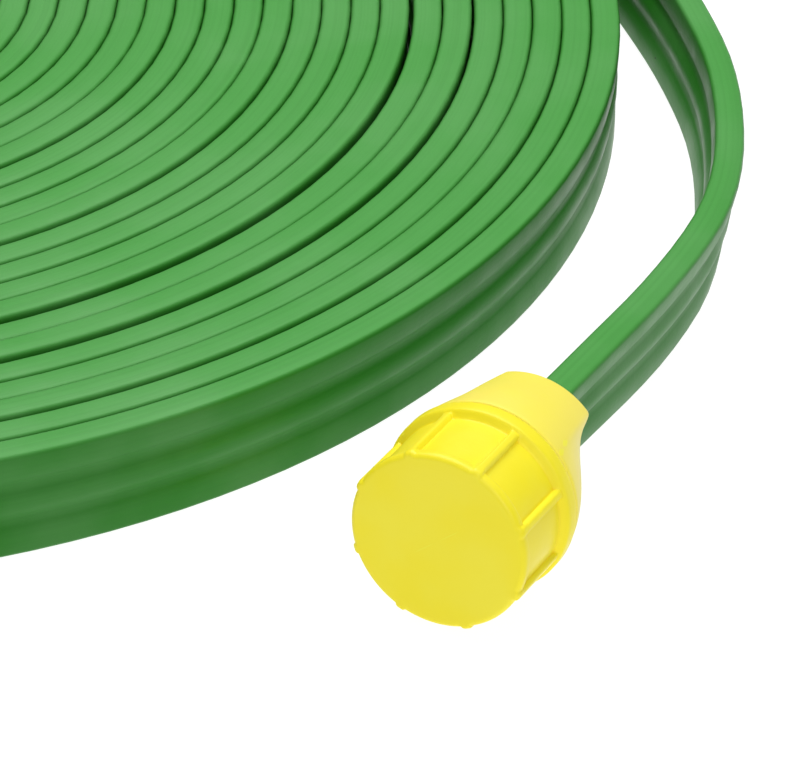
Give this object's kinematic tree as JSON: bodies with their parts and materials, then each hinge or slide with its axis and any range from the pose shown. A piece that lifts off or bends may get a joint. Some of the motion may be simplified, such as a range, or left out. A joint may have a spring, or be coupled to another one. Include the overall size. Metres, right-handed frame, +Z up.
{
  "type": "soaker hose",
  "caption": "Flat multi-channel soaker hose wound on edge into a flat coil, with a ribbed screw-on end cap and a swivel tap nut.",
  "frame": {"origin": "on the floor, under the middle of the bounding box of the wound hose as it lies", "axes": "+Z up, +X along the longest side of the box, from the coil towards the free capped end"},
  "size_m": [0.413, 0.3526, 0.0353],
  "materials": {
    "hose": "semi-gloss",
    "fitting": "satin",
    "connector": "satin",
    "seal": "matte",
    "filter": "matte"
  },
  "bodies": {
    "root": {"hose_coil": "hose", "hose_tail": "hose", "hose_lead": "hose", "end_collar": "fitting", "end_connector": "connector", "inlet_collar": "fitting", "inlet_connector": "connector"},
    "end_seal": {"end_seal": "seal"},
    "end_cap": {"end_cap": "fitting"},
    "inlet_nut": {"inlet_nut": "fitting", "inlet_seal": "seal", "inlet_filter": "filter"}
  },
  "joints": [
    {"name": "end_cap_slide", "type": "slide", "parent": "root", "child": "end_seal", "axis": [0.2919, -0.9547, 0.0576], "range_m": [0, 0.00885]},
    {"name": "end_cap_turn", "type": "hinge", "parent": "end_seal", "child": "end_cap", "pos_m": [0.18639, -0.02054, 0.0168], "axis": [0.2919, -0.9547, 0.0576], "range_deg": [0, 1440]},
    {"name": "inlet_nut_swivel", "type": "hinge", "parent": "root", "child": "inlet_nut", "pos_m": [-0.03907, -0.02489, 0.01682], "axis": [0.8351, -0.5341, 0.1319], "continuous": true}
  ],
  "couplings": [
    {"joint": "end_cap_slide", "follows": "end_cap_turn", "m_per_rad": 0.00035152}
  ]
}
